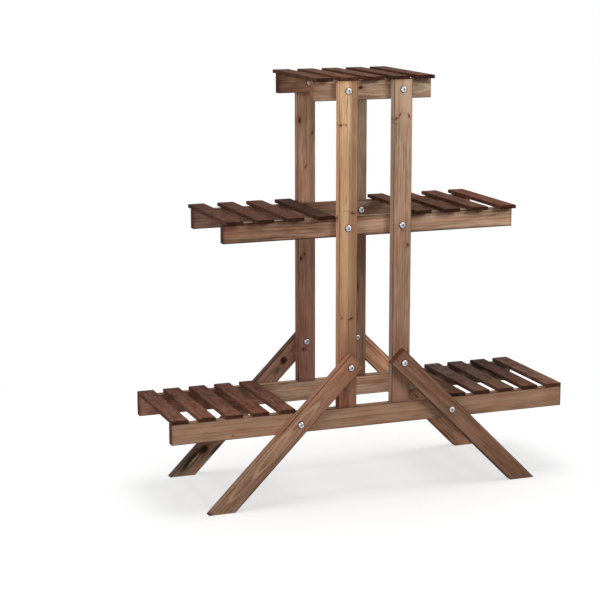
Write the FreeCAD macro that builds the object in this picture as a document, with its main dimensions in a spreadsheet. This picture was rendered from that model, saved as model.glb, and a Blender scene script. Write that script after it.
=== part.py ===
import FreeCAD, Part
import Sketcher
import os

# Three-tier plant stand of sawn boards, bolted together, with nailed-on slats.
# Millimetres; X along the width, -Y is the front, +Z up.
# The origin is on the floor under the middle of the stand.

doc = FreeCAD.newDocument("PlantStand")

sizes = (
    ("overall_height", 825, "floor to the face of the top slats"),
    ("overall_depth", 285, "over the bolt heads on the legs, front to back"),
    ("stock_width", 38, "broad face of posts, legs and the upper rails"),
    ("stock_thick", 18, "thickness of rails, posts and legs"),
    ("stock_ease", 1.5, "rounding of the long edges of the boards"),
    ("slat_width", 34, "broad face of a slat"),
    ("slat_thick", 7, "thickness of a slat"),
    ("slat_ease", 1, "rounding of the long edges of a slat"),
    ("bottom_rail_len", 830, "length of the bottom rails, the overall width"),
    ("bottom_rail_width", 41, "broad face of the bottom rails, the widest boards"),
    ("bottom_rail_base", 141, "floor to the underside of the bottom rails"),
    ("bottom_pitch", 54, "slat to slat on the bottom tier"),
    ("middle_rail_len", 605, "length of the middle rails"),
    ("middle_rail_base", 518, "floor to the underside of the middle rails"),
    ("middle_post_gap", 9.5, "post edge to the nearest middle slat"),
    ("top_pitch", 52.5, "slat to slat on the top tier"),
    ("post_offset", 56.5, "middle of the stand to the middle of a post"),
    ("foot_offset", 322, "middle of the stand to the middle of a foot, on the floor"),
    ("leg_angle", 45, "slope of the legs, degrees above the floor"),
    ("head_width", 12, "diameter of bolt and sleeve heads"),
    ("head_height", 3, "how far bolt and sleeve heads stand out"),
    ("head_round", 1.8, "rounding of the rim of a head"),
    ("socket_width", 4, "across flats of the hexagon socket"),
    ("socket_depth", 1.8, "depth of the hexagon socket"),
    ("shank_width", 6, "diameter of a bolt shank"),
    ("shank_short", 12, "bolt tip to the inner face of the joint"),
    ("shank_bevel", 0.6, "bevel at the tip of a bolt"),
    ("barrel_width", 8, "diameter of a sleeve barrel"),
    ("barrel_short", 8, "barrel end to the outer face of the joint"),
    ("barrel_floor", 6, "solid end of a barrel under its head"),
    ("bolt_clear", 0.3, "room around shank and barrel, per side"),
    ("brad_width", 1.6, "diameter of a brad"),
    ("brad_len", 18, "length of a brad over its head"),
    ("brad_point", 2, "length of the point of a brad"),
    ("brad_head_width", 3.2, "diameter of the head of a brad"),
    ("brad_head_height", 1, "thickness of the head of a brad"),
    ("brad_clear", 0.3, "room around a brad, per side and below"),
)

sheet = doc.addObject("Spreadsheet::Sheet", "Sizes")
for row, (alias, value, note) in enumerate(sizes, 1):
    sheet.set(f"A{row}", note)
    sheet.set(f"B{row}", str(value))
    sheet.setAlias(f"B{row}", alias)
doc.recompute()

# Sizes that follow from the sheet.
half_stock = "(Sizes.stock_width / 2)"
stack = "(2 * Sizes.stock_thick)"
slat_run = f"(Sizes.overall_depth - {stack} - 2 * Sizes.head_height)"
post_face = f"({slat_run} / 2)"
post_mid = f"({post_face} - Sizes.stock_thick / 2)"
rail_mid = f"({post_mid} - Sizes.stock_thick)"
leg_mid = f"({post_mid} + Sizes.stock_thick)"
leg_face = f"({post_face} + Sizes.stock_thick)"
post_place = "Sizes.post_offset"
post_edge = f"({post_place} + {half_stock})"
bottom_top = "(Sizes.bottom_rail_base + Sizes.bottom_rail_width)"
middle_top = "(Sizes.middle_rail_base + Sizes.stock_width)"
top_top = "(Sizes.overall_height - Sizes.slat_thick)"
middle_axis = f"({middle_top} - {half_stock})"
top_axis = f"({top_top} - {half_stock})"
bolt_hole = "(Sizes.barrel_width + 2 * Sizes.bolt_clear)"
brad_hole = "(Sizes.brad_width + 2 * Sizes.brad_clear)"
brad_seat = "(Sizes.brad_head_width + 2 * Sizes.brad_clear)"

# A leg crosses the post at its knee bolt and the bottom rail at its hip bolt, measured from its foot.
leg_rise = "sin(Sizes.leg_angle)"
leg_run = "cos(Sizes.leg_angle)"
knee_run = f"(Sizes.foot_offset - {post_place})"
knee_rise = f"({knee_run} * {leg_rise} / {leg_run})"
hip_rise = f"({bottom_top} - Sizes.bottom_rail_width / 2)"
hip_run = f"({hip_rise} * {leg_run} / {leg_rise})"
hip_place = f"(Sizes.foot_offset - {hip_run})"

# Slats in a row, and rows: a tier beside the posts has a row on the left and one on the right.
bottom_count = 5
middle_count = 4
top_count = 5
beside_count = 2
above_count = 1
bottom_pitch = "Sizes.bottom_pitch"
top_pitch = "Sizes.top_pitch"
bottom_rail_len = "Sizes.bottom_rail_len"
bottom_width = "Sizes.bottom_rail_width"
upper_width = "Sizes.stock_width"
middle_rail_len = "Sizes.middle_rail_len"
middle_room = f"({middle_rail_len} / 2 - {post_edge} - Sizes.middle_post_gap)"
middle_pitch = f"(({middle_room} - Sizes.slat_width) / {middle_count - 1})"
top_rail_len = f"({top_count - 1} * {top_pitch} + Sizes.slat_width)"

ends = (("front", -1), ("back", 1))
sides = (("left", -1), ("right", 1))
same = 0.001
nodes = []


def start_body(label, x="0", y="0", z="0", turn=0):
    body = doc.addObject("PartDesign::Body", label)
    body.Label = label
    body.Placement = FreeCAD.Placement(FreeCAD.Vector(), FreeCAD.Rotation(FreeCAD.Vector(0, 0, 1), turn))
    for axis, place in zip("xyz", (x, y, z)):
        body.setExpression(f"Placement.Base.{axis}", place)
    nodes.append(body)
    return body


def datum(body, role):
    for feature in body.Origin.OriginFeatures:
        if feature.Role == role:
            return feature


def start_sketch(body, name, role, lift="0", across="0"):
    sketch = body.newObject("Sketcher::SketchObject", name)
    sketch.AttachmentSupport = [(datum(body, role), "")]
    sketch.MapMode = "FlatFace"
    sketch.setExpression("AttachmentOffset.Base.x", across)
    sketch.setExpression("AttachmentOffset.Base.z", lift)
    return sketch


# Ties one sketch point to the sketch origin by two sizes.
def place_point(sketch, item, end, across, up):
    for kind, size in (("DistanceX", across), ("DistanceY", up)):
        number = sketch.addConstraint(Sketcher.Constraint(kind, -1, 1, item, end, 1.0))
        sketch.setExpression(f"Constraints[{number}]", size)


def draw_outline(sketch, corners):
    total = len(corners)
    spots = []
    for across, up in corners:
        spots.append(FreeCAD.Vector(sheet.evalExpression(across), sheet.evalExpression(up), 0))
    for item in range(total):
        sketch.addGeometry(Part.LineSegment(spots[item], spots[(item + 1) % total]))
    for item in range(total):
        sketch.addConstraint(Sketcher.Constraint("Coincident", item, 2, (item + 1) % total, 1))
    for item, (across, up) in enumerate(corners):
        place_point(sketch, item, 1, across, up)


def draw_circles(sketch, centres, width):
    for item, (across, up) in enumerate(centres):
        centre = FreeCAD.Vector(sheet.evalExpression(across), sheet.evalExpression(up), 0)
        sketch.addGeometry(Part.Circle(centre, FreeCAD.Vector(0, 0, 1), sheet.evalExpression(width) / 2))
        number = sketch.addConstraint(Sketcher.Constraint("Diameter", item, sheet.evalExpression(width)))
        sketch.setExpression(f"Constraints[{number}]", width)
        place_point(sketch, item, 3, across, up)


def pad(body, sketch, length, symmetric):
    feature = body.newObject("PartDesign::Pad", f"{body.Name}_pad")
    feature.Profile = sketch
    feature.SideType = "Symmetric" if symmetric else "One side"
    feature.setExpression("Length", length)
    doc.recompute()
    return feature


# A cut that leaves the volume as it was points the wrong way.
def cut(body, sketch, depth=None, outward=False):
    before = body.Shape.Volume
    feature = body.newObject("PartDesign::Pocket", f"{sketch.Name}_cut")
    feature.Profile = sketch
    feature.Reversed = outward
    if depth:
        feature.setExpression("Length", depth)
    else:
        feature.Type = "ThroughAll"
        feature.SideType = "Symmetric"
    doc.recompute()
    if body.Shape.Volume >= before:
        raise RuntimeError(f"{feature.Name} cuts nothing")
    return feature


# The planed long edges are rounded, the sawn ends stay crisp.
def ease_long_edges(body, feature, radius):
    edges = feature.Shape.Edges
    longest = max(edge.Length for edge in edges)
    names = [f"Edge{number}" for number, edge in enumerate(edges, 1) if edge.Length > longest / 2]
    fillet = body.newObject("PartDesign::Fillet", f"{body.Name}_ease")
    fillet.Base = (feature, names)
    fillet.setExpression("Radius", radius)
    doc.recompute()


def board(body, corners, holes):
    outline = start_sketch(body, f"{body.Name}_face", "XZ_Plane")
    draw_outline(outline, corners)
    blank = pad(body, outline, "Sizes.stock_thick", True)
    ease_long_edges(body, blank, "Sizes.stock_ease")
    drilling = start_sketch(body, f"{body.Name}_bolts", "XZ_Plane")
    draw_circles(drilling, holes, bolt_hole)
    cut(body, drilling)


def turn_profile(body, profile):
    turned = body.newObject("PartDesign::Revolution", f"{body.Name}_turn")
    turned.Profile = profile
    turned.ReferenceAxis = (profile, ["V_Axis"])
    turned.Angle = 360
    doc.recompute()
    return turned


# Repeats a feature along a tier: one or two rows of slats, each row from its first slat.
def repeat_along(body, feature, count, pitch, rows, row_step, whole):
    pattern = body.newObject("PartDesign::LinearPattern", f"{body.Name}_row")
    pattern.TransformMode = "Whole shape" if whole else "Features"
    pattern.Originals = [] if whole else [feature]
    pattern.Direction = (datum(body, "X_Axis"), [""])
    pattern.setExpression("Length", f"{count - 1} * {pitch}")
    pattern.Occurrences = count
    if rows > 1:
        pattern.Direction2 = (datum(body, "X_Axis"), [""])
        pattern.setExpression("Length2", row_step)
        pattern.Occurrences2 = rows
    body.Tip = pattern
    doc.recompute()


def mirror_whole(body, role):
    mirror = body.newObject("PartDesign::Mirrored", f"{body.Name}_{role[:2]}")
    mirror.TransformMode = "Whole shape"
    mirror.MirrorPlane = (datum(body, role), [""])
    body.Tip = mirror
    doc.recompute()


# The rails of each tier: length, broad face, top, middle front to back, middle of the stand to a bolt.
rails = {
    "bottom": (bottom_rail_len, bottom_width, bottom_top, post_mid, hip_place),
    "middle": (middle_rail_len, upper_width, middle_top, rail_mid, post_place),
    "top": (top_rail_len, upper_width, top_top, rail_mid, post_place),
}

# The slats of each tier: how many in a row, pitch, rows.
rows_of_slats = {
    "bottom": (bottom_count, bottom_pitch, beside_count),
    "middle": (middle_count, middle_pitch, beside_count),
    "top": (top_count, top_pitch, above_count),
}

for tier, (rail_len, rail_width, rail_top, mid, bolt_place) in rails.items():
    count, pitch, rows = rows_of_slats[tier]
    half = f"{rail_len} / 2"
    edge = "Sizes.slat_width / 2"
    tip = f"{slat_run} / 2"
    slat_corners = ((f"-{edge}", f"-{tip}"), (edge, f"-{tip}"), (edge, tip), (f"-{edge}", tip))
    first = f"(Sizes.slat_width / 2 - {half})"
    row_step = f"({rail_len} - Sizes.slat_width - {count - 1} * {pitch})"

    for end, toward in ends:
        rail = start_body(f"rail_{tier}_{end}", y=f"{toward} * {mid}", z=rail_top)
        face = (
            (f"-{half}", f"-{rail_width}"),
            (half, f"-{rail_width}"),
            (half, "0"),
            (f"-{half}", "0"),
        )
        holes = [(f"{way} * {bolt_place}", f"-{rail_width} / 2") for side, way in sides]
        board(rail, face, holes)
        spot = start_sketch(rail, f"{rail.Name}_brad", "XY_Plane")
        draw_circles(spot, [(first, "0")], brad_hole)
        drilled = cut(rail, spot, "Sizes.brad_len - Sizes.slat_thick + Sizes.brad_clear")
        repeat_along(rail, drilled, count, pitch, rows, row_step, False)

    row_names = [side for side, way in sides] if rows > 1 else [""]
    for row, row_name in enumerate(row_names):
        for step in range(count):
            label = "_".join(word for word in ("slat", tier, row_name, str(step + 1)) if word)
            across = f"{first} + {step} * {pitch} + {row} * {row_step}"
            slat = start_body(label, x=across, z=rail_top)
            outline = start_sketch(slat, f"{label}_face", "XY_Plane")
            draw_outline(outline, slat_corners)
            blank = pad(slat, outline, "Sizes.slat_thick", False)
            ease_long_edges(slat, blank, "Sizes.slat_ease")
            spots = [("0", f"{toward} * {mid}") for end, toward in ends]
            pierced = start_sketch(slat, f"{label}_brads", "XY_Plane")
            draw_circles(pierced, spots, brad_hole)
            cut(slat, pierced)
            seated = start_sketch(slat, f"{label}_seats", "XY_Plane", lift="Sizes.slat_thick")
            draw_circles(seated, spots, brad_seat)
            cut(slat, seated, "Sizes.brad_head_height")

    # Brads of the tier, one solid each, heads flush with the slats.
    brads = start_body(f"brads_{tier}", z=f"{rail_top} + Sizes.slat_thick")
    profile = start_sketch(brads, f"{brads.Name}_profile", "XZ_Plane", lift=mid, across=first)
    draw_outline(profile, [
        ("0", "0"),
        ("Sizes.brad_head_width / 2", "0"),
        ("Sizes.brad_head_width / 2", "-Sizes.brad_head_height"),
        ("Sizes.brad_width / 2", "-Sizes.brad_head_height"),
        ("Sizes.brad_width / 2", "Sizes.brad_point - Sizes.brad_len"),
        ("0", "-Sizes.brad_len"),
    ])
    brad = turn_profile(brads, profile)
    repeat_along(brads, brad, count, pitch, rows, row_step, True)
    mirror_whole(brads, "XZ_Plane")

# Posts stand on the bottom rails and end level with the top rails.
post_rise = f"({top_top} - {bottom_top})"
post_face_corners = (
    (f"-{half_stock}", "0"),
    (half_stock, "0"),
    (half_stock, post_rise),
    (f"-{half_stock}", post_rise),
)
post_holes = [("0", f"{axis} - {bottom_top}") for axis in (knee_rise, middle_axis, top_axis)]

# Legs are cut level at the foot and square at the head, half a board beyond the knee bolt.
foot = f"({half_stock} / {leg_rise})"
head_run = f"({knee_run} + {half_stock} * {leg_run})"
head_rise = f"({knee_rise} + {half_stock} * {leg_rise})"
leg_face_corners = (
    (f"-{foot}", "0"),
    (foot, "0"),
    (f"{head_run} + {half_stock} * {leg_rise}", f"{head_rise} - {half_stock} * {leg_run}"),
    (f"{head_run} - {half_stock} * {leg_rise}", f"{head_rise} + {half_stock} * {leg_run}"),
)
leg_holes = [(hip_run, hip_rise), (knee_run, knee_rise)]

for end, toward in ends:
    for side, way in sides:
        place = f"{way} * {post_place}"
        post = start_body(f"post_{end}_{side}", x=place, y=f"{toward} * {post_mid}", z=bottom_top)
        board(post, post_face_corners, post_holes)
        place = f"{way} * Sizes.foot_offset"
        about = 0 if side == "left" else 180
        leg = start_body(f"leg_{end}_{side}", x=place, y=f"{toward} * {leg_mid}", turn=about)
        board(leg, leg_face_corners, leg_holes)


# A set of four fasteners turned from one profile: the first at the front right, mirrored left and back.
def fasteners(label, corners, across, rise, seat, outward):
    body = start_body(label, z=rise)
    profile = start_sketch(body, f"{label}_profile", "XY_Plane", across=across)
    draw_outline(profile, corners)
    turned = turn_profile(body, profile)
    level = -sheet.evalExpression(seat)
    rim = []
    for number, edge in enumerate(turned.Shape.Edges, 1):
        box = edge.BoundBox
        if box.YLength < same and abs(box.YMin - level) < same and box.XLength > same:
            rim.append(f"Edge{number}")
    rounding = body.newObject("PartDesign::Fillet", f"{label}_round")
    rounding.Base = (turned, rim)
    rounding.setExpression("Radius", "Sizes.head_round")
    doc.recompute()
    socket = start_sketch(body, f"{label}_socket", "XZ_Plane", lift=seat, across=across)
    reach = "Sizes.socket_width / 2 / cos(30)"
    draw_outline(socket, [(f"{reach} * cos({60 * k})", f"{reach} * sin({60 * k})") for k in range(6)])
    cut(body, socket, "Sizes.socket_depth", outward)
    mirror_whole(body, "YZ_Plane")
    mirror_whole(body, "XZ_Plane")


# Each joint: middle to the bolt, floor to the bolt, outer face of the outer board.
joints = {
    "post_top": (post_place, top_axis, post_face),
    "post_middle": (post_place, middle_axis, post_face),
    "leg_post": (post_place, knee_rise, leg_face),
    "leg_rail": (hip_place, hip_rise, leg_face),
}

head = "Sizes.head_width / 2"
shank = "Sizes.shank_width / 2"
barrel = "Sizes.barrel_width / 2"
bore = "(Sizes.shank_width / 2 + Sizes.bolt_clear)"
for joint, (across, rise, outer) in joints.items():
    inner = f"({outer} - {stack})"
    top = f"({outer} + Sizes.head_height)"
    tip = f"({inner} + Sizes.shank_short)"
    bolt = [
        ("0", f"-{top}"),
        (head, f"-{top}"),
        (head, f"-{outer}"),
        (shank, f"-{outer}"),
        (shank, f"-{tip} - Sizes.shank_bevel"),
        (f"{shank} - Sizes.shank_bevel", f"-{tip}"),
        ("0", f"-{tip}"),
    ]
    fasteners(f"bolts_{joint}", bolt, across, rise, top, False)

    top = f"({inner} - Sizes.head_height)"
    mouth = f"({outer} - Sizes.barrel_short)"
    floor = f"({inner} + Sizes.barrel_floor)"
    sleeve = [
        ("0", f"-{floor}"),
        (bore, f"-{floor}"),
        (bore, f"-{mouth}"),
        (barrel, f"-{mouth}"),
        (barrel, f"-{inner}"),
        (head, f"-{inner}"),
        (head, f"-{top}"),
        ("0", f"-{top}"),
    ]
    fasteners(f"sleeves_{joint}", sleeve, across, rise, top, True)

doc.recompute()
for item in doc.Objects:
    if "Invalid" in item.State or "Error" in item.State:
        raise RuntimeError(f"{item.Name} failed: {item.State}")
for node in nodes:
    if node.Shape.isNull() or not node.Shape.isValid() or not node.Shape.Solids:
        raise RuntimeError(f"{node.Label} has no valid solid")

os.makedirs("parts", exist_ok=True)
for node in nodes:
    node.Shape.exportStep(f"parts/{node.Label}.step")
print(len(nodes), "sub-parts written")
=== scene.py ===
import math
import random

import bpy
from mathutils import Euler, Matrix, Vector


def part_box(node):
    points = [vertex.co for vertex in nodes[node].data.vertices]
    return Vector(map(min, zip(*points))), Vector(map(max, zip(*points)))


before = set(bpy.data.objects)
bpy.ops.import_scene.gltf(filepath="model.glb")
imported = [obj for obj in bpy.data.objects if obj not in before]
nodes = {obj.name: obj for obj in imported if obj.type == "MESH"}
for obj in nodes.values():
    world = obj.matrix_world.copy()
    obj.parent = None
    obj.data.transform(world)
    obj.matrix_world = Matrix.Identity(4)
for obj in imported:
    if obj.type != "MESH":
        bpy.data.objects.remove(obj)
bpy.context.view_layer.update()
print("frame loaded,", len(nodes), "nodes")

mm = 0.001


# sRGB hex to the linear colour that a shader socket takes
def hexToLinear(code):
    parts = [int(code[i:i + 2], 16) / 255 for i in (1, 3, 5)]
    return [p / 12.92 if p <= 0.04045 else ((p + 0.055) / 1.055) ** 2.4 for p in parts] + [1.0]


# adds a node; each wire is a socket to link from or a plain value to set
def put(tree, kind, wires=None, out=0, **settings):
    node = tree.nodes.new(kind)
    for key, value in settings.items():
        setattr(node, key, value)
    for key, value in (wires or {}).items():
        if isinstance(value, bpy.types.NodeSocket):
            tree.links.new(value, node.inputs[key])
        else:
            node.inputs[key].default_value = value
    return node.outputs[out] if node.outputs else node


# the mix node's sockets when it mixes colours, and settings that come back often
mixShare, mixUnder, mixOver = 0, 6, 7
plainMix = {"out": 2, "data_type": "RGBA"}
tintMix = {"out": 2, "data_type": "RGBA", "blend_type": "MULTIPLY"}
smooth = {"interpolation_type": "SMOOTHSTEP"}


# 1 for the rays that see the background: the camera's, and those off metal or through glass
def seenRays(tree):
    rays = put(tree, "ShaderNodeLightPath").node
    seen = put(tree, "ShaderNodeMath", {
        0: rays.outputs["Is Camera Ray"], 1: rays.outputs["Is Glossy Ray"],
    }, operation="MAXIMUM")
    return put(tree, "ShaderNodeMath", {0: seen, 1: rays.outputs["Is Transmission Ray"]}, operation="MAXIMUM")


def startMaterial(name):
    material = bpy.data.materials.new(name)
    material.use_nodes = True
    material.node_tree.nodes.clear()
    return material, material.node_tree


def dress(name, material):
    nodes[name].material_slots[0].material = material


# Fir boards, sawn, planed and dip-stained brown: matt and soft to the eye, with faint late wood lines along
# the board, grey and reddish clouds where the stain took unevenly, knots, and dark edges and board ends.
# Lengths are in mm; apart keeps the patterns from falling together
firLook = {
    "streak": {"reach": 190.0, "girth": 8.0, "detail": 3.0, "apart": 1.7},   # streaks in the stain
    "cloud": {"reach": 75.0, "girth": 19.0, "detail": 2.0, "apart": 2.3},    # clouds in the stain
    "fibre": {"reach": 40.0, "girth": 2.5, "detail": 2.0, "apart": 3.1},     # in bundles; one would not show
    "shift": 40.0,                # cells; each board takes its noises from a place of its own
    "pithAside": (30.0, 75.0),    # the middle of the tree lies this far to one side of the board,
    "pithDeep": 45.0,             # up to this far before or behind it,
    "pithTilt": (1.1, 0.7),       # and up to so many degrees askew
    "wanderCell": (240.0, 42.0, 42.0),   # board to one slow wander of the grain
    "wanderReach": (0, 9.0, 9.0),        # how far it wanders from side to side
    "raggedCell": (4.5, 4.5, 4.5),       # the same for the ragged outlines of knots and stains
    "raggedReach": (4.0, 4.0, 0),
    "clearCell": (120.0, 16.0, 16.0),    # a place where the late wood shows more clearly, or less
    "clearShare": (0.2, 1.0),            # how much of it shows, at least and at most
    "clearApart": 0.7,
    "lateRise": (0.15, 0.8),      # shares of a year's growth: late wood darkens slowly
    "lateFall": (1.0, 0.82),      # and ends sharply
    "lateProud": 0.35,            # height of the late wood, next to that of the fibres
    "relief": 0.3,                # height of the fibres
    "knotFade": 0.74,             # what is left of a knot's push and halo one half width away
    "knotPush": 0.9,              # half widths by which a knot pushes the lines aside
    "knotCore": (1.6, 0.2),       # half widths squared, where a knot's heart begins and is full
    "stainFade": (1.0, 0.25),     # shares of a stain's half size, where it begins and is full
    "tongueFade": (0.17, 0.03),   # the same to either side of a tongue's outline
    "stripeCore": 0.2,            # share of a stripe's half width that is full
    "splitWidth": 0.9,            # half width of a drying check
    "splitFade": (1.0, 0.4),      # shares of a check's half size, where it begins and is full
    "splitShare": 0.75,
    "splitDepth": -2.5,           # next to the height of the fibres
    "edgeFull": 0.3,              # from an edge, where its stain and painted shade are full
    "edgeShare": (0.45, 0.95),    # that stain and painted shade where wear has broken it, and where not
    "wornStrip": (6.0, 2.0),      # from an edge, the strip that handling has paled
    "shadeRing": (8.4, 6.2),      # from a bolt's middle: outer and inner edge of the painted contact shade round its head
    "shadeRingShare": 0.7,
    "soak": 7.0,                  # how far the stain soaked in from a board end
    "soakShare": 0.35,
    "sideTurn": (0.6, 0.9),       # cosines from which a face counts as a narrow side, in part and in full
    "endTurn": (0.55, 0.9),       # and as a board end
    "paleLift": (1.26, 1.24, 1.19),
    "lateTint": "#C4AE9E",
    "greyTint": "#BFC0B0",
    "redTint": "#F0CDBD",
    "fibreTint": "#A89688",
    "knotTint": "#C08F73",
    "heart": "#21130D",           # of knots and drying checks
    "shadeRingTint": "#6B594C",
    "roughness": (0.7, 0.92),
    "specular": 0.12,
}
# what each board may set for itself, with the usual values; lengths and places in mm. Besides these it has
# tones at its low and high end, partly painted light, and may have a seed, and a pith and tilt instead of the
# drawn ones
boardLook = {
    "ring": 5.5,              # between late wood lines; real ones are 2 to 3 mm apart, too fine to show here
    "contrast": 0.6,          # strength of all streaks, clouds, lines and fibres
    "lines": 1.0,             # strength of the lines and fibres alone
    "clouds": 1.0,            # strength of the grey and reddish clouds alone
    "short": 1.0,             # length of streaks, clouds and fibres
    "lean": (1.0, 1.0),       # brightness at the two long edges
    "sides": 1.0,             # brightness of the narrow sides
    "worn": 1.09,             # brightness of the strip that handling has paled
    "edge": 2.3,              # from an edge that holds more stain and painted shade
    "edgeStainAndShadeTint": "#5A4740",
    "endTint": "#8E6C60",
    "knots": (),              # where along, where across, half width, length to width, degrees, depth of tone
    "checks": (),             # drying splits: from, to, where across
    "stripes": (),            # on the face (1) or narrow side (2), where across, half width, share, colour
    "stainsAndPaintedLight": (),             # where along, where across, half length, half width, share, colour; some are painted light or shade
    "tongues": (),            # rings that the saw cut at a flat angle, pale loops; listed as stains are
}
through = 1e4   # mm; a knot or a stain goes right through the board


# board coordinates in mm: X along the grain, Y across the broad face, Z through the board
def boardSpot(tree, board):
    turn = Matrix((board["along"], board["across"], board["normal"])).transposed()
    spot = put(tree, "ShaderNodeTexCoord", out="Object")
    return put(tree, "ShaderNodeMapping", {
        "Vector": spot, "Location": board["centre"], "Rotation": turn.to_euler(), "Scale": (mm, mm, mm),
    }, vector_type="TEXTURE")


# shakes board coordinates by a noise with cells of this size, by up to half the reach either way
def shaken(tree, spot, cell, reach, shift=(0, 0, 0)):
    noise = put(tree, "ShaderNodeVectorMath", {
        0: spot, 1: [1 / size for size in cell], 2: shift,
    }, operation="MULTIPLY_ADD")
    noise = put(tree, "ShaderNodeTexNoise", {"Vector": noise, "Scale": 1.0, "Detail": 2.0}, out="Color")
    noise = put(tree, "ShaderNodeVectorMath", {0: noise, 1: (0.5, 0.5, 0.5)}, operation="SUBTRACT")
    return put(tree, "ShaderNodeVectorMath", {0: noise, 1: reach, 2: spot}, operation="MULTIPLY_ADD")


# a noise stretched along the grain; its three channels are three patterns
def stretched(tree, bent, pattern, shift, short):
    girth = 1 / pattern["girth"]
    noise = put(tree, "ShaderNodeVectorMath", {
        0: bent, 1: (1 / (pattern["reach"] * short), girth, girth), 2: shift * pattern["apart"],
    }, operation="MULTIPLY_ADD")
    noise = put(tree, "ShaderNodeTexNoise", {
        "Vector": noise, "Scale": 1.0, "Detail": pattern["detail"], "Roughness": 0.55,
    }, out="Color")
    return put(tree, "ShaderNodeSeparateColor", {0: noise}).node.outputs


# distance from the middle of an ellipse on the broad face; 1 is its outline
def fromMiddle(tree, spot, middle, halves, slant=0.0):
    away = put(tree, "ShaderNodeMapping", {
        "Vector": spot, "Location": (*middle, 0), "Rotation": (0, 0, math.radians(slant)),
        "Scale": (*halves, through),
    }, vector_type="TEXTURE")
    return put(tree, "ShaderNodeVectorMath", {0: away}, out="Value", operation="LENGTH")


# knots: the lines flow round each one, with a warm halo and a dark, ragged heart
def knotMasks(tree, ragged, knots):
    begin, full = firLook["knotCore"]
    push, halo, heart = 0.0, 0.0, 0.0
    for along, aside, size, stretch, slant, dark in knots:
        away = fromMiddle(tree, ragged, (along, aside), (size * stretch, size), slant)
        away = put(tree, "ShaderNodeMath", {0: away, 1: away}, operation="MULTIPLY")
        swell = put(tree, "ShaderNodeMath", {0: firLook["knotFade"], 1: away}, operation="POWER")
        push = put(tree, "ShaderNodeMath", {
            0: swell, 1: firLook["knotPush"] * size, 2: push,
        }, operation="MULTIPLY_ADD")
        warm = put(tree, "ShaderNodeMath", {0: swell, 1: dark}, operation="MULTIPLY")
        halo = put(tree, "ShaderNodeMath", {0: warm, 1: halo}, operation="MAXIMUM")
        core = put(tree, "ShaderNodeMapRange", {
            "Value": away, "From Min": begin, "From Max": full, "To Max": dark,
        }, **smooth)
        heart = put(tree, "ShaderNodeMath", {0: core, 1: heart}, operation="MAXIMUM")
    return push, halo, heart


# drying checks: hairline splits along the grain
def splitMask(tree, bent, checks):
    begin, full = firLook["splitFade"]
    split = 0.0
    for start, end, aside in checks:
        middle, reach = (start + end) / 2, abs(end - start) / 2
        crack = fromMiddle(tree, bent, (middle, aside), (reach, firLook["splitWidth"]))
        crack = put(tree, "ShaderNodeMapRange", {
            "Value": crack, "From Min": begin, "From Max": full, "To Max": firLook["splitShare"],
        }, **smooth)
        split = put(tree, "ShaderNodeMath", {0: crack, 1: split}, operation="MAXIMUM")
    return split


# growth rings round the pith, which mostly lies outside the board and slightly askew; 1 on a late wood line
def lateWood(tree, wood, shift, look):
    tilt = [math.radians(angle) for angle in look["tilt"]]
    around = put(tree, "ShaderNodeMapping", {
        "Vector": wood["bent"], "Location": (0, *look["pith"]), "Rotation": (0, *tilt),
    }, vector_type="TEXTURE")
    around = put(tree, "ShaderNodeVectorMath", {0: around, 1: (0, 1, 1)}, operation="MULTIPLY")
    radius = put(tree, "ShaderNodeVectorMath", {0: around}, out="Value", operation="LENGTH")
    radius = put(tree, "ShaderNodeMath", {0: radius, 1: wood["push"]}, operation="ADD")
    year = put(tree, "ShaderNodeMath", {0: radius, 1: 1 / look["ring"]}, operation="MULTIPLY")
    year = put(tree, "ShaderNodeMath", {0: year}, operation="FRACT")
    rise = put(tree, "ShaderNodeMapRange", {
        "Value": year, "From Min": firLook["lateRise"][0], "From Max": firLook["lateRise"][1],
    }, **smooth)
    fall = put(tree, "ShaderNodeMapRange", {
        "Value": year, "From Min": firLook["lateFall"][0], "From Max": firLook["lateFall"][1],
    }, **smooth)
    late = put(tree, "ShaderNodeMath", {0: rise, 1: fall}, operation="MULTIPLY")
    clear = put(tree, "ShaderNodeVectorMath", {
        0: wood["spot"], 1: [1 / size for size in firLook["clearCell"]], 2: shift * firLook["clearApart"],
    }, operation="MULTIPLY_ADD")
    clear = put(tree, "ShaderNodeTexNoise", {"Vector": clear, "Scale": 1.0, "Detail": 1.0})
    clear = put(tree, "ShaderNodeMapRange", {
        "Value": clear, "From Min": 0.35, "From Max": 0.65,
        "To Min": firLook["clearShare"][0], "To Max": firLook["clearShare"][1],
    })
    return put(tree, "ShaderNodeMath", {0: late, 1: clear}, operation="MULTIPLY")
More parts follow.
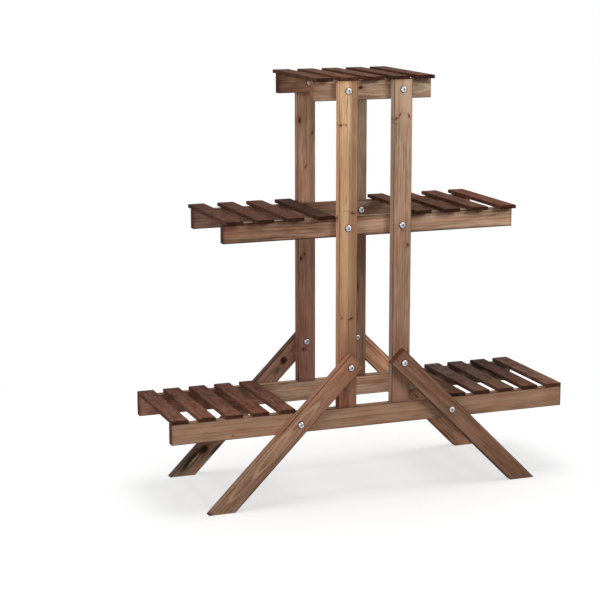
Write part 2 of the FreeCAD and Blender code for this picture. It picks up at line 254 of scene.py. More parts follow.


# the tone drifts from the board's low end to its high end, partly its own tone and partly painted light;
# streaks, clouds, lines and fibres lie on it
def stainAndLightTone(tree, wood, board, look):
    toneAndLightDrift = put(tree, "ShaderNodeMapRange", {
        "Value": wood["place"][0], "From Min": board["ends"][0], "From Max": board["ends"][1],
    })
    low, high = look["tones"]
    colour = put(tree, "ShaderNodeMix", {
        mixShare: toneAndLightDrift, mixUnder: hexToLinear(low), mixOver: hexToLinear(high),
    }, **plainMix)
    strength = look["contrast"]
    pale = put(tree, "ShaderNodeVectorMath", {0: colour, 1: firLook["paleLift"]}, operation="MULTIPLY")
    lift = put(tree, "ShaderNodeMapRange", {
        "Value": wood["streak"][0], "From Min": 0.42, "From Max": 0.7, "To Max": strength,
    }, **smooth)
    colour = put(tree, "ShaderNodeMix", {mixShare: lift, mixUnder: colour, mixOver: pale}, **plainMix)
    # tint, pattern, where in the pattern it starts and is full, share
    layers = (
        ("lateTint", wood["late"], 0.0, 1.0, 0.8 * look["lines"]),
        ("greyTint", wood["streak"][1], 0.44, 0.68, 0.75 * look["clouds"]),
        ("redTint", wood["cloud"][0], 0.42, 0.68, 0.8 * look["clouds"]),
        ("greyTint", wood["cloud"][1], 0.45, 0.72, 0.8 * look["clouds"]),
        ("fibreTint", wood["fibre"][0], 0.4, 0.7, 0.65 * look["lines"]),
    )
    for tint, pattern, start, full, share in layers:
        mask = put(tree, "ShaderNodeMapRange", {
            "Value": pattern, "From Min": start, "From Max": full, "To Max": share * strength,
        }, **smooth)
        colour = put(tree, "ShaderNodeMix", {
            mixShare: mask, mixUnder: colour, mixOver: hexToLinear(firLook[tint]),
        }, **tintMix)
    return colour


# the marks that only this board has: stripes, stains (some of them painted light or shade), tongues, knots
# and drying checks
def ownMarks(tree, colour, wood, look):
    marks = []
    flow = put(tree, "ShaderNodeSeparateXYZ", {0: wood["bent"]}).node.outputs
    for axis, aside, girth, share, code in look["stripes"]:
        stripe = put(tree, "ShaderNodeMath", {0: flow[axis], 1: aside}, operation="SUBTRACT")
        stripe = put(tree, "ShaderNodeMath", {0: stripe}, operation="ABSOLUTE")
        stripe = put(tree, "ShaderNodeMapRange", {
            "Value": stripe, "From Min": girth, "From Max": firLook["stripeCore"] * girth,
            "To Max": 2 * share,
        }, **smooth)
        # the clouds, about a half on average, break the stripe up
        stripe = put(tree, "ShaderNodeMath", {0: stripe, 1: wood["cloud"][2]}, operation="MULTIPLY")
        marks.append((stripe, code))
    begin, full = firLook["stainFade"]
    for along, aside, reach, girth, share, code in look["stainsAndPaintedLight"]:
        away = fromMiddle(tree, wood["ragged"], (along, aside), (reach, girth))
        stain = put(tree, "ShaderNodeMapRange", {
            "Value": away, "From Min": begin, "From Max": full, "To Max": share,
        }, **smooth)
        marks.append((stain, code))
    begin, full = firLook["tongueFade"]
    for along, aside, reach, girth, share, code in look["tongues"]:
        away = fromMiddle(tree, wood["ragged"], (along, aside), (reach, girth))
        loop = put(tree, "ShaderNodeMath", {0: away, 1: 1.0}, operation="SUBTRACT")
        loop = put(tree, "ShaderNodeMath", {0: loop}, operation="ABSOLUTE")
        loop = put(tree, "ShaderNodeMapRange", {
            "Value": loop, "From Min": begin, "From Max": full, "To Max": share,
        }, **smooth)
        marks.append((loop, code))
    for mask, code in marks:
        colour = put(tree, "ShaderNodeMix", {
            mixShare: mask, mixUnder: colour, mixOver: hexToLinear(code),
        }, **plainMix)
    if look["knots"]:
        colour = put(tree, "ShaderNodeMix", {
            mixShare: wood["halo"], mixUnder: colour, mixOver: hexToLinear(firLook["knotTint"]),
        }, **tintMix)
    for kind, mask in (("knots", wood["heart"]), ("checks", wood["split"])):
        if look[kind]:
            colour = put(tree, "ShaderNodeMix", {
                mixShare: mask, mixUnder: colour, mixOver: hexToLinear(firLook["heart"]),
            }, **plainMix)
    return colour


# one long edge may be paler than the other, the narrow sides took more or less stain, handling has paled a
# strip just inside the edges, and stain has gathered along the edges, broken up by wear; this edge darkening
# is also painted shade along edges that face down or lie under other boards
def stainAndShadeEdges(tree, colour, wood, board, look):
    halfWidth, halfThick = board["halfWidth"], board["halfThick"]
    lean = put(tree, "ShaderNodeMapRange", {
        "Value": wood["place"][1], "From Min": -halfWidth, "From Max": halfWidth,
        "To Min": look["lean"][0], "To Max": look["lean"][1],
    })
    normal = put(tree, "ShaderNodeNewGeometry", out="True Normal")
    side = put(tree, "ShaderNodeVectorMath", {
        0: normal, 1: board["across"],
    }, out="Value", operation="DOT_PRODUCT")
    side = put(tree, "ShaderNodeMath", {0: side}, operation="ABSOLUTE")
    side = put(tree, "ShaderNodeMapRange", {
        "Value": side, "From Min": firLook["sideTurn"][0], "From Max": firLook["sideTurn"][1],
        "To Min": 1.0, "To Max": look["sides"],
    })
    flat = put(tree, "ShaderNodeVectorMath", {0: wood["spot"]}, operation="ABSOLUTE")
    flat = put(tree, "ShaderNodeSeparateXYZ", {0: flat}).node.outputs
    toSide = put(tree, "ShaderNodeMath", {0: halfWidth, 1: flat[1]}, operation="SUBTRACT")
    toFace = put(tree, "ShaderNodeMath", {0: halfThick, 1: flat[2]}, operation="SUBTRACT")
    toEdge = put(tree, "ShaderNodeMath", {0: toSide, 1: toFace}, operation="MAXIMUM")
    worn = put(tree, "ShaderNodeMapRange", {
        "Value": toEdge, "From Min": firLook["wornStrip"][0], "From Max": firLook["wornStrip"][1],
        "To Min": 1.0, "To Max": look["worn"],
    }, **smooth)
    gain = put(tree, "ShaderNodeMath", {0: lean, 1: side}, operation="MULTIPLY")
    gain = put(tree, "ShaderNodeMath", {0: gain, 1: worn}, operation="MULTIPLY")
    colour = put(tree, "ShaderNodeVectorMath", {0: colour, "Scale": gain}, operation="SCALE")
    # stain along the edges, and painted shade on edges that face down or lie under other boards
    edgeStainAndShade = put(tree, "ShaderNodeMapRange", {
        "Value": toEdge, "From Min": look["edge"], "From Max": firLook["edgeFull"],
    }, **smooth)
    broken = put(tree, "ShaderNodeMapRange", {
        "Value": wood["cloud"][2], "From Min": 0.35, "From Max": 0.55,
        "To Min": firLook["edgeShare"][0], "To Max": firLook["edgeShare"][1],
    })
    edgeStainAndShade = put(tree, "ShaderNodeMath", {0: edgeStainAndShade, 1: broken}, operation="MULTIPLY")
    return put(tree, "ShaderNodeMix", {
        mixShare: edgeStainAndShade, mixUnder: colour, mixOver: hexToLinear(look["edgeStainAndShadeTint"]),
    }, **tintMix)


# painted contact shade on the wood round the bolt heads, all of which sit on the board's middle line
def boltShadeRings(tree, colour, spot, bolts):
    outer, inner = firLook["shadeRing"]
    for along in bolts:
        away = fromMiddle(tree, spot, (along, 0), (1, 1))
        paintedShade = put(tree, "ShaderNodeMapRange", {
            "Value": away, "From Min": outer, "From Max": inner, "To Max": firLook["shadeRingShare"],
        }, **smooth)
        colour = put(tree, "ShaderNodeMix", {
            mixShare: paintedShade, mixUnder: colour, mixOver: hexToLinear(firLook["shadeRingTint"]),
        }, **tintMix)
    return colour


# end grain drinks the most stain, which also soaks a little way into the faces
def stainEnds(tree, colour, wood, board, look):
    lowEnd, highEnd = board["ends"]
    normal = put(tree, "ShaderNodeNewGeometry", out="True Normal")
    endGrain = put(tree, "ShaderNodeVectorMath", {
        0: normal, 1: board["along"],
    }, out="Value", operation="DOT_PRODUCT")
    endGrain = put(tree, "ShaderNodeMath", {0: endGrain}, operation="ABSOLUTE")
    endGrain = put(tree, "ShaderNodeMapRange", {
        "Value": endGrain, "From Min": firLook["endTurn"][0], "From Max": firLook["endTurn"][1],
    }, **smooth)
    toLow = put(tree, "ShaderNodeMath", {0: wood["place"][0], 1: lowEnd}, operation="SUBTRACT")
    toHigh = put(tree, "ShaderNodeMath", {0: highEnd, 1: wood["place"][0]}, operation="SUBTRACT")
    toEnd = put(tree, "ShaderNodeMath", {0: toLow, 1: toHigh}, operation="MINIMUM")
    soak = put(tree, "ShaderNodeMapRange", {
        "Value": toEnd, "From Min": firLook["soak"], "From Max": 0.0, "To Max": firLook["soakShare"],
    }, **smooth)
    soak = put(tree, "ShaderNodeMath", {0: soak, 1: endGrain}, operation="MAXIMUM")
    return put(tree, "ShaderNodeMix", {
        mixShare: soak, mixUnder: colour, mixOver: hexToLinear(look["endTint"]),
    }, **tintMix)


def stainedFir(name, board, ownLook):
    material, tree = startMaterial("dipStainedFir." + name)
    # each board draws its own grain; a pith and tilt that it sets itself replace the drawn ones
    pick = random.Random(ownLook.get("seed", name))
    shift = Vector([pick.uniform(-firLook["shift"], firLook["shift"]) for i in range(3)])
    side = pick.choice((-1, 1))
    aside = side * pick.uniform(*firLook["pithAside"])
    pith = (aside, pick.uniform(-firLook["pithDeep"], firLook["pithDeep"]))
    tilt = [pick.uniform(-angle, angle) for angle in firLook["pithTilt"]]
    look = {**boardLook, "pith": pith, "tilt": tilt, **ownLook}

    spot = boardSpot(tree, board)
    bent = shaken(tree, spot, firLook["wanderCell"], firLook["wanderReach"], shift)
    ragged = shaken(tree, spot, firLook["raggedCell"], firLook["raggedReach"])
    wood = {"spot": spot, "bent": bent, "ragged": ragged}
    wood["place"] = put(tree, "ShaderNodeSeparateXYZ", {0: spot}).node.outputs
    wood["push"], wood["halo"], wood["heart"] = knotMasks(tree, ragged, look["knots"])
    wood["split"] = splitMask(tree, bent, look["checks"])
    wood["late"] = lateWood(tree, wood, shift, look)
    for kind in ("streak", "cloud", "fibre"):
        wood[kind] = stretched(tree, bent, firLook[kind], shift, look["short"])

    colour = stainAndLightTone(tree, wood, board, look)
    colour = ownMarks(tree, colour, wood, look)
    colour = stainAndShadeEdges(tree, colour, wood, board, look)
    colour = boltShadeRings(tree, colour, spot, board["bolts"])
    colour = stainEnds(tree, colour, wood, board, look)

    # fibres and late wood stand a little proud of the planed face
    fibre = wood["fibre"][0]
    rough = put(tree, "ShaderNodeMapRange", {
        "Value": fibre, "From Min": 0.3, "From Max": 0.7,
        "To Min": firLook["roughness"][0], "To Max": firLook["roughness"][1],
    })
    height = put(tree, "ShaderNodeMath", {
        0: wood["late"], 1: firLook["lateProud"], 2: fibre,
    }, operation="MULTIPLY_ADD")
    height = put(tree, "ShaderNodeMath", {
        0: wood["split"], 1: firLook["splitDepth"], 2: height,
    }, operation="MULTIPLY_ADD")
    relief = put(tree, "ShaderNodeBump", {
        "Strength": 0.5, "Distance": firLook["relief"] * mm, "Height": height,
    })
    shader = put(tree, "ShaderNodeBsdfPrincipled", {
        "Base Color": colour, "Roughness": rough, "Normal": relief,
        "IOR": 1.5, "Specular IOR Level": firLook["specular"],
    })
    put(tree, "ShaderNodeOutputMaterial", {"Surface": shader})
    dress(name, material)


# the ways that posts, rails and slats run, and the way that most broad faces look
upward, sideways, inward = Vector((0, 0, 1)), Vector((1, 0, 0)), Vector((0, 1, 0))
toFront = Vector((0, -1, 0))


# a board that runs along an axis; its sizes come from the frame
def boardOf(name, along, normal, bolts=()):
    low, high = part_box(name)
    across = normal.cross(along)
    halves = [abs((high - low).dot(way)) / 2 / mm for way in (along, across, normal)]
    return {
        "centre": (low + high) / 2, "along": along, "across": across, "normal": normal,
        "ends": (-halves[0], halves[0]), "halfWidth": halves[1], "halfThick": halves[2], "bolts": bolts,
    }


postBolts = (299, 37, -234.5)   # mm from a post's middle: top rail, middle rail, leg
# the posts' tones rise from dark at the foot to pale at the top: partly their own tone, partly painted light
# that falls off downwards
postLooks = {
    "post_front_left": {
        "tones": ("#8E5A4D", "#D8B490"), "pith": (70, 30), "tilt": (0.3, 0.2), "seed": 11,
        "contrast": 0.7, "lines": 1.05, "clouds": 0.6,
        "lean": (0.88, 1.12), "sides": 1.45, "edgeStainAndShadeTint": "#85695B",
        "stripes": (
            (1, -11.0, 11.0, 0.85, "#916C4F"), (1, 16.5, 4.0, 0.3, "#A57A55"), (2, 0.0, 7.5, 0.5, "#9C8470"),
        ),
        "stainsAndPaintedLight": (
            (70, 2.6, 290, 3.4, 0.45, "#D3AC80"), (40, 8, 330, 9, 0.45, "#CFAA80"),
            (-40, 0, 110, 18, 0.3, "#C09A72"), (-225, -3, 75, 24, 0.4, "#6E4C38"),
            (155, 2, 80, 26, 0.25, "#8F6F4E"),
        ),
        "knots": (
            (235, 16, 2.0, 1.2, 20, 0.85), (236, 10, 0.9, 4.0, 80, 0.35), (235, 6, 1.6, 1.2, -30, 0.5),
            (66, -9, 1.6, 2.2, 70, 0.75), (70, 4, 0.9, 7.0, 80, 0.2),
            (-138, 13, 1.3, 2.2, -35, 0.5), (-141, -6, 1.7, 2.2, -60, 0.85), (-280, 6, 1.5, 2.4, 5, 0.5),
        ),
        "checks": ((262, 297, 2.7), (78, 101, 4.0)),
    },
    "post_front_right": {
        "tones": ("#92705D", "#BC9E86"), "pith": (-64, 40), "tilt": (0.4, -0.3), "seed": 12,
        "contrast": 0.65, "lines": 0.95, "sides": 1.35, "edgeStainAndShadeTint": "#7A6054",
        "stripes": ((2, 0.0, 7.5, 0.9, "#8B7D71"),),
        # the pale stain at the foot is painted light that lifts the shade of the leg in front
        "stainsAndPaintedLight": (
            (-190, 0, 60, 30, 0.3, "#6F5142"), (-285, 0, 45, 30, 0.3, "#B08C76"),
            (290, 0, 70, 30, 0.3, "#D3B699"),
        ),
        "knots": (
            (251, 7, 1.4, 2.8, -37, 0.6), (244, 14, 1.5, 2.8, -64, 0.7), (233, 15, 1.3, 2.6, 70, 0.3),
            (248, -12, 1.7, 2.6, 33, 0.7), (28, 0, 1.7, 1.8, 10, 0.6), (-3, -12, 1.6, 2.0, 10, 0.8),
        ),
    },
    "post_back_left": {
        "tones": ("#8C6255", "#CAA489"), "pith": (58, -35), "tilt": (0.5, 0.4), "seed": 13,
        "stripes": ((1, -12.0, 8.0, 0.5, "#7F6B58"),),
        "knots": (
            (-250, 7, 2.6, 1.1, 0, 1.0), (-59, 12, 2.4, 1.3, 0, 0.9), (-51, 5, 1.7, 1.2, 0, 0.7),
            (223, 15, 2.6, 2.2, 5, 0.8), (197, -12, 1.4, 2.6, -25, 0.7), (129, 2, 1.5, 3.2, -20, 0.5),
        ),
    },
    "post_back_right": {
        "tones": ("#7C5E4E", "#937E68"), "pith": (-52, 45), "tilt": (-0.4, 0.3), "seed": 14,
        "knots": ((-128, 4, 4.2, 2.0, 0, 1.0), (140, 10, 1.6, 2.0, 15, 0.5)),
    },
}
for name, look in postLooks.items():
    stainedFir(name, boardOf(name, upward, toFront, postBolts), look)
print("posts dressed")


railBolts = {"bottom": 160.5, "middle": 56.5, "top": 56.5}   # mm either side of a rail's middle
railLooks = {
    "rail_bottom_front": {
        "tones": ("#A2816A", "#987863"), "pith": (66, 30), "tilt": (0.2, 0.3), "seed": 21,
        "contrast": 0.42, "worn": 1.0,
        "stripes": ((1, 4.0, 6.0, 0.4, "#B08E76"),),
        "stainsAndPaintedLight": ((398, 0, 34, 26, 0.45, "#8A5E45"),),
        "knots": ((-294, -13, 1.4, 1.6, 0, 0.6),),
    },
    # its dark reddish stains under both bottom shelves are painted shade cast by the slats above
    "rail_bottom_back": {
        "tones": ("#E7BEA1", "#746D61"), "pith": (-60, 25), "seed": 22, "contrast": 0.75,
        "stainsAndPaintedLight": (
            (-345, 0, 120, 60, 0.9, "#7D5447"), (-245, 0, 100, 60, 0.9, "#7D5447"),
            (290, 0, 150, 60, 0.85, "#5E463B"),
        ),
    },
    # the wide dark edges and the dark stain along the bottom edge are painted shade under the slats and below
    # the rail; the tones, paler to the right, are partly painted light
    "rail_middle_front": {
        "tones": ("#8D6A58", "#BF9F86"), "pith": (50, 48), "tilt": (0.7, 0.3), "seed": 23,
        "contrast": 0.75, "lines": 1.2, "edge": 4.5, "worn": 1.0, "sides": 1.1,
        "stripes": ((2, 0.0, 7.5, 0.9, "#968A7D"),),
        "stainsAndPaintedLight": (
            (10, 2, 150, 14, 0.5, "#C3A088"), (120, 2, 120, 14, 0.3, "#C3A088"),
            (0, -20.0, 420, 8, 0.5, "#4A372D"),
        ),
    },
    "rail_middle_back": {"tones": ("#997A6C", "#90715B"), "pith": (-55, 40), "seed": 24},
    "rail_top_front": {
        "tones": ("#A98872", "#A38D78"), "pith": (-8, -46), "tilt": (3.2, 0.5), "seed": 25,
        "endTint": "#E8D6C8",
        "tongues": ((36, 0.5, 86, 11, 0.6, "#C6AA91"),),
        "knots": ((-25, 4.5, 2.3, 1.7, 0, 1.0), (-33, 3, 1.5, 2.0, 10, 0.4)),
    },
    "rail_top_back": {"tones": ("#8B695A", "#EDBE95"), "pith": (60, 20), "seed": 26},
}
for name, look in railLooks.items():
    reach = railBolts[name.split("_")[1]]
    stainedFir(name, boardOf(name, sideways, toFront, (-reach, reach)), look)
print("rails dressed")


# mm: where a leg crosses the bottom rail, how far it runs up and down from there (the foot is cut level),
# and how far up its post's bolt is
legLay = {
    "hip": (160.5, 130.5, 161.5), "headReach": 166.1, "footReach": 400.0, "postBolt": 147.1,
    "halfWidth": 19.0, "halfThick": 9.0,
}
legLooks = {
    "leg_front_left": {
        "tones": ("#8F7A68", "#A3765F"), "ring": 6.0, "pith": (2, -8), "tilt": (4.8, 0.3), "seed": 31,
        "contrast": 0.55, "lean": (0.85, 1.1), "sides": 1.12,
        "stripes": ((2, 3.0, 2.5, 0.4, "#A98468"),),
        "stainsAndPaintedLight": (
            (-145, 3, 50, 9, 0.6, "#7C5442"), (-114, -2, 40, 10, 0.6, "#7C5442"),
            (-248, 17, 12, 7, 0.9, "#2E221C"), (-110, -19.5, 150, 4.5, 0.85, "#4A352B"),
            (-48, 4, 48, 13, 0.35, "#B38A6C"),
        ),
        "tongues": (
            (-41, 2, 90, 9, 0.65, "#B8967A"), (-113, 7.5, 86, 9.5, 0.6, "#B39074"),
            (-36, -2, 40, 4, 0.45, "#B39074"),
        ),
    },
    "leg_front_right": {
        "tones": ("#795E49", "#8C6755"), "pith": (-40, 40), "tilt": (0.9, 0.3), "seed": 32,
        "endTint": "#C8AE9F",
        "stripes": ((1, 14.0, 5.5, 0.2, "#8A7160"), (1, 7.5, 1.8, 0.3, "#5E4335")),
        "stainsAndPaintedLight": (
            (-120, 19.5, 240, 3.4, 0.8, "#3F2E25"), (-60, 4, 60, 14, 0.45, "#99705A"),
            (-225, 0, 60, 30, 0.3, "#5A4233"),
        ),
    },
    "leg_back_left": {
        "tones": ("#A48F80", "#906D5D"), "pith": (44, 36), "tilt": (0.5, -0.4), "seed": 33,
        "edge": 2.6, "edgeStainAndShadeTint": "#453630", "sides": 0.48,
        "stainsAndPaintedLight": (
            (-192, 10, 56, 13, 1.0, "#35291F"), (-142, -15, 22, 7, 0.8, "#3B2D25"),
            (62, -1, 16, 8, 0.85, "#4E4133"), (-203, -11, 30, 9, 0.7, "#AD7861"),
            (-188, 6.0, 28, 2.6, 0.95, "#BDA38B"), (-40, 0, 55, 30, 0.6, "#94675A"),
        ),
        "tongues": ((87, 2.7, 12, 10, 0.6, "#A88A72"),),
        "knots": ((87, 2.7, 6.4, 1.25, 20, 1.0), (-159, 4, 7.4, 1.3, 0, 1.0)),
    },
    "leg_back_right": {
        "tones": ("#BC8C75", "#C69A78"), "pith": (-48, 30), "tilt": (0.6, 0.4), "seed": 34,
        "contrast": 0.85, "lines": 1.2,
    },
}
for name, look in legLooks.items():
    hand = -1 if "left" in name else 1
    depth = -1 if "front" in name else 1
    along = Vector((-hand, 0, 1)).normalized()
    hip = Vector((hand * legLay["hip"][0], depth * legLay["hip"][1], legLay["hip"][2])) * mm
    stainedFir(name, {
        "centre": hip, "along": along, "across": toFront.cross(along), "normal": toFront,
        "ends": (-legLay["footReach"], legLay["headReach"]),
        "halfWidth": legLay["halfWidth"], "halfThick": legLay["halfThick"], "bolts": (0, legLay["postBolt"]),
    }, look)
print("legs dressed")


slatLooks = {
    "slat_bottom_left_1": {"tones": ("#765543", "#69473B")},
    "slat_bottom_left_2": {"tones": ("#865D4C", "#603E30")},
    "slat_bottom_left_3": {"tones": ("#835844", "#58392C")},
    "slat_bottom_left_4": {"tones": ("#7F533F", "#6A493D")},
    "slat_bottom_left_5": {"tones": ("#8F6353", "#5A392C")},
    "slat_bottom_right_1": {"tones": ("#644332", "#5F422F")},
    "slat_bottom_right_2": {"tones": ("#745244", "#5E4B43")},
    "slat_bottom_right_3": {"tones": ("#725543", "#4B3733")},
    "slat_bottom_right_4": {"tones": ("#694839", "#36201A")},
    "slat_bottom_right_5": {"tones": ("#8C6556", "#58433C")},
    "slat_middle_left_1": {"tones": ("#69412E", "#4B2E20")},
    "slat_middle_left_2": {"tones": ("#5B3725", "#5A3624"), "knots": ((-62, -10, 3.0, 1.4, 0, 0.7),)},
    "slat_middle_left_3": {"tones": ("#6D4634", "#653F33")},
    "slat_middle_left_4": {"tones": ("#583520", "#422216")},
    "slat_middle_right_1": {"tones": ("#5F3F2B", "#5E3C2C")},
    "slat_middle_right_2": {"tones": ("#563523", "#5F3828")},
    "slat_middle_right_3": {"tones": ("#694434", "#654134")},
    "slat_middle_right_4": {"tones": ("#764734", "#744737")},
    "slat_top_1": {"tones": ("#65412C", "#623F2D")},
    "slat_top_2": {"tones": ("#83573E", "#65442F")},
    "slat_top_3": {"tones": ("#714A36", "#6B4533")},
    "slat_top_4": {"tones": ("#5F3E2D", "#5D3D2D")},
    "slat_top_5": {"tones": ("#6E4531", "#5E3D29")},
}
# what the slats share: short streaks and clouds, and no pale strip along their edges
slatFinish = {
    "edge": 1.2, "sides": 0.95, "contrast": 0.9, "lines": 0.6, "clouds": 1.3, "short": 0.35, "worn": 1.0,
    "endTint": "#988B82",
}
for name, look in slatLooks.items():
    stainedFir(name, boardOf(name, inward, upward), {**slatFinish, **look})
print("slats dressed")


# Zinc-plated steel, pressed button heads: bright and cool, with a slightly uneven plated skin; its dull
# patches are partly painted dark reflections
zincLook = {
    "bright": "#D8DBDD", "dullAndDarkReflection": "#92989B", "paintedShade": "#2E2A27", "roughness": (0.2, 0.38),
    "grain": 3.0, "relief": 0.05,   # mm: uneven patches and their height
    "recess": 2.2,                  # mm: how near another surface has to be to hold the painted shade
}


def zincPlated(names):
    material, tree = startMaterial("zincPlatedSteel.pressed")
    spot = put(tree, "ShaderNodeTexCoord", out="Object")
    skin = put(tree, "ShaderNodeTexNoise", {
        "Vector": spot, "Scale": 1 / (zincLook["grain"] * mm), "Detail": 3.0, "Roughness": 0.6,
    })
    # dull patches: uneven plating, and painted darker reflections
    dullAndDarkReflectionShare = put(tree, "ShaderNodeMapRange", {"Value": skin, "From Min": 0.35, "From Max": 0.65})
    colour = put(tree, "ShaderNodeMix", {
        mixShare: dullAndDarkReflectionShare, mixUnder: hexToLinear(zincLook["bright"]), mixOver: hexToLinear(zincLook["dullAndDarkReflection"]),
    }, **plainMix)
    # painted shade in the sockets and where a head meets the wood
    clear = put(tree, "ShaderNodeAmbientOcclusion", {"Distance": zincLook["recess"] * mm}, out="AO")
    paintedRecessShade = put(tree, "ShaderNodeMapRange", {"Value": clear, "From Min": 0.92, "From Max": 0.45})
    colour = put(tree, "ShaderNodeMix", {
        mixShare: paintedRecessShade, mixUnder: colour, mixOver: hexToLinear(zincLook["paintedShade"]),
    }, **plainMix)
    rough = put(tree, "ShaderNodeMapRange", {
        "Value": skin, "From Min": 0.3, "From Max": 0.7,
        "To Min": zincLook["roughness"][0], "To Max": zincLook["roughness"][1],
    })
    relief = put(tree, "ShaderNodeBump", {
        "Strength": 0.25, "Distance": zincLook["relief"] * mm, "Height": skin,
    })
    shader = put(tree, "ShaderNodeBsdfPrincipled", {
        "Base Color": colour, "Metallic": 1.0, "Roughness": rough, "Normal": relief,
    })
    put(tree, "ShaderNodeOutputMaterial", {"Surface": shader})
    for name in names:
        dress(name, material)


zincPlated([name for name in nodes if name.startswith(("bolts", "sleeves"))])
print("bolts and sleeve nuts dressed")


# Drawn steel wire brads, dipped in stain with the slats: dull brown heads, the metal only just showing
bradLook = {
    "metal": "#6B5A4E", "stain": "#4A3329", "roughness": (0.45, 0.75),
    "grain": 0.9, "relief": 0.08,   # mm: patches in the film of stain, and their height
}


def stainedBrads(names):
    material, tree = startMaterial("drawnSteelWire.stained")
    spot = put(tree, "ShaderNodeTexCoord", out="Object")
    film = put(tree, "ShaderNodeTexNoise", {
        "Vector": spot, "Scale": 1 / (bradLook["grain"] * mm), "Detail": 2.0,
    })
    bare = put(tree, "ShaderNodeMapRange", {"Value": film, "From Min": 0.52, "From Max": 0.68})
    colour = put(tree, "ShaderNodeMix", {
        mixShare: bare, mixUnder: hexToLinear(bradLook["stain"]), mixOver: hexToLinear(bradLook["metal"]),
    }, **plainMix)
    rough = put(tree, "ShaderNodeMapRange", {
        "Value": bare, "To Min": bradLook["roughness"][1], "To Max": bradLook["roughness"][0],
    })
    relief = put(tree, "ShaderNodeBump", {
        "Strength": 0.3, "Distance": bradLook["relief"] * mm, "Height": film,
    })
    shader = put(tree, "ShaderNodeBsdfPrincipled", {
        "Base Color": colour, "Metallic": bare, "Roughness": rough, "Normal": relief,
    })
    put(tree, "ShaderNodeOutputMaterial", {"Surface": shader})
    for name in names:
        dress(name, material)


stainedBrads([name for name in nodes if name.startswith("brads")])
print("brads dressed")


# Studio floor: matt white painted board, shown white where it is lit, with the stand's soft shadow on it
floorLook = {
    "board": "#CFCFCF",   # as it lights the stand from below
    "lit": "#FCFCFC",     # as it is seen, with a little glow on top
    "glow": 0.6,
    "side": 14.0, "fadeFrom": 0.6, "fadeTo": 1.1,   # m; plain white beyond the fade
}


def studioFloor():
    half = floorLook["side"] / 2
    mesh = bpy.data.meshes.new("studioFloor")
    corners = [(-half, -half, 0), (half, -half, 0), (half, half, 0), (-half, half, 0)]
    mesh.from_pydata(corners, [], [(0, 1, 2, 3)])
    floor = bpy.data.objects.new("studioFloor", mesh)
    bpy.context.scene.collection.objects.link(floor)
    material, tree = startMaterial("mattWhiteBoard.painted")
    seen = seenRays(tree)
    spot = put(tree, "ShaderNodeTexCoord", out="Object")
    reach = put(tree, "ShaderNodeVectorMath", {0: spot}, out="Value", operation="LENGTH")
    far = put(tree, "ShaderNodeMapRange", {
        "Value": reach, "From Min": floorLook["fadeFrom"], "From Max": floorLook["fadeTo"],
    }, **smooth)
    plain = put(tree, "ShaderNodeBsdfDiffuse", {"Color": hexToLinear(floorLook["board"])})
    near = put(tree, "ShaderNodeBsdfDiffuse", {"Color": hexToLinear(floorLook["lit"])})
    glow = put(tree, "ShaderNodeEmission", {"Strength": floorLook["glow"]})
    near = put(tree, "ShaderNodeAddShader", {0: near, 1: glow})
    white = put(tree, "ShaderNodeEmission", {"Strength": 1.0})
    shown = put(tree, "ShaderNodeMixShader", {0: far, 1: near, 2: white})
    surface = put(tree, "ShaderNodeMixShader", {0: seen, 1: plain, 2: shown})
    put(tree, "ShaderNodeOutputMaterial", {"Surface": surface})
    mesh.materials.append(material)
    return floor


floor = studioFloor()
print("floor laid")


# white surroundings for the eye and for metal, a plain soft light for everything else
worldLook = {"light": 0.27, "white": 1.0}


def studioWorld():
    world = bpy.data.worlds.new("studioWorld")
    bpy.context.scene.world = world
    world.use_nodes = True
    tree = world.node_tree
    tree.nodes.clear()
    seen = seenRays(tree)
    soft = put(tree, "ShaderNodeBackground", {"Strength": worldLook["light"]})
    white = put(tree, "ShaderNodeBackground", {"Color": (1, 1, 1, 1), "Strength": worldLook["white"]})
    surface = put(tree, "ShaderNodeMixShader", {0: seen, 1: soft, 2: white})
    put(tree, "ShaderNodeOutputWorld", {"Surface": surface})


studioWorld()


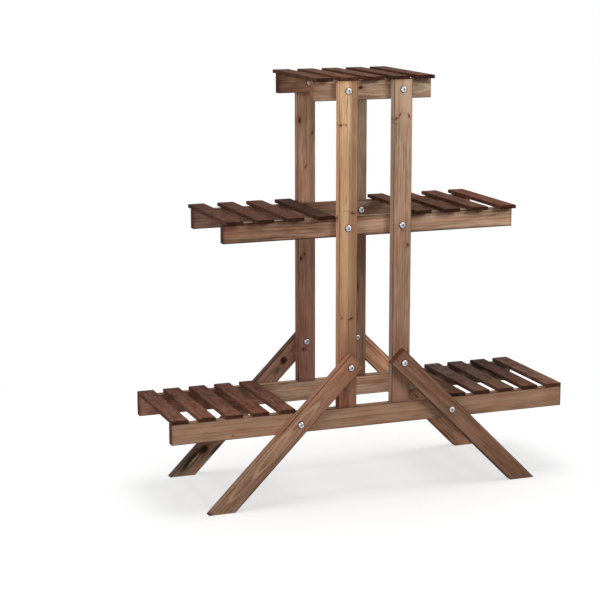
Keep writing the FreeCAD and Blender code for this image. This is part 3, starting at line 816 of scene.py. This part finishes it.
# metres and watts; only the lamp overhead lights the floor, so that the shadow lies under the stand as in the
# picture, and the one behind throws no sheen along the slats towards the front
lamps = {
    "keySoftbox": {"at": (1.4, -2.3, 1.85), "aim": (0, 0, 0.4), "size": 1.5, "power": 58},
    "leftSoftbox": {"at": (-2.6, -1.6, 1.2), "aim": (0, 0, 0.4), "size": 1.8, "power": 46},
    "backSoftbox": {"at": (0.9, 3.0, 1.2), "aim": (0, 0, 0.4), "size": 1.8, "power": 40, "sheen": False},
    "topSoftbox": {"at": (0, 0, 5.5), "aim": (0, 0, 0), "size": 3.2, "power": 75, "onFloor": True},
}
flagged = bpy.data.collections.new("flaggedOff")
flagged.objects.link(floor)
flagged.collection_objects[0].light_linking.link_state = "EXCLUDE"
for name, lamp in lamps.items():
    light = bpy.data.lights.new(name, "AREA")
    light.shape = "DISK"
    light.size = lamp["size"]
    light.energy = lamp["power"]
    softbox = bpy.data.objects.new(name, light)
    softbox.location = lamp["at"]
    softbox.rotation_euler = (Vector(lamp["aim"]) - Vector(lamp["at"])).to_track_quat("-Z", "Y").to_euler()
    softbox.visible_glossy = lamp.get("sheen", True)
    bpy.context.scene.collection.objects.link(softbox)
    if not lamp.get("onFloor"):
        softbox.light_linking.receiver_collection = flagged
print("studio lit")


# the picture's own viewpoint; place and reach in m, angles in degrees, lens and sensor in mm
view = {
    "at": (-1.31654, -3.21109, 1.08817), "yaw": -20.593, "pitch": -11.709, "roll": -0.099,
    "lens": 105.73, "sensor": 36, "reach": 100,
}
camera = bpy.data.cameras.new("pictureCamera")
camera.lens = view["lens"]
camera.sensor_width = view["sensor"]
camera.clip_end = view["reach"]
viewer = bpy.data.objects.new("pictureCamera", camera)
heading = Euler((math.radians(90 + view["pitch"]), 0, math.radians(view["yaw"]))).to_matrix()
heading = heading @ Matrix.Rotation(math.radians(view["roll"]), 3, "Z")
viewer.matrix_world = Matrix.Translation(view["at"]) @ heading.to_4x4()
bpy.context.scene.collection.objects.link(viewer)
bpy.context.scene.camera = viewer
bpy.context.scene.view_settings.view_transform = "Standard"
print("camera set")
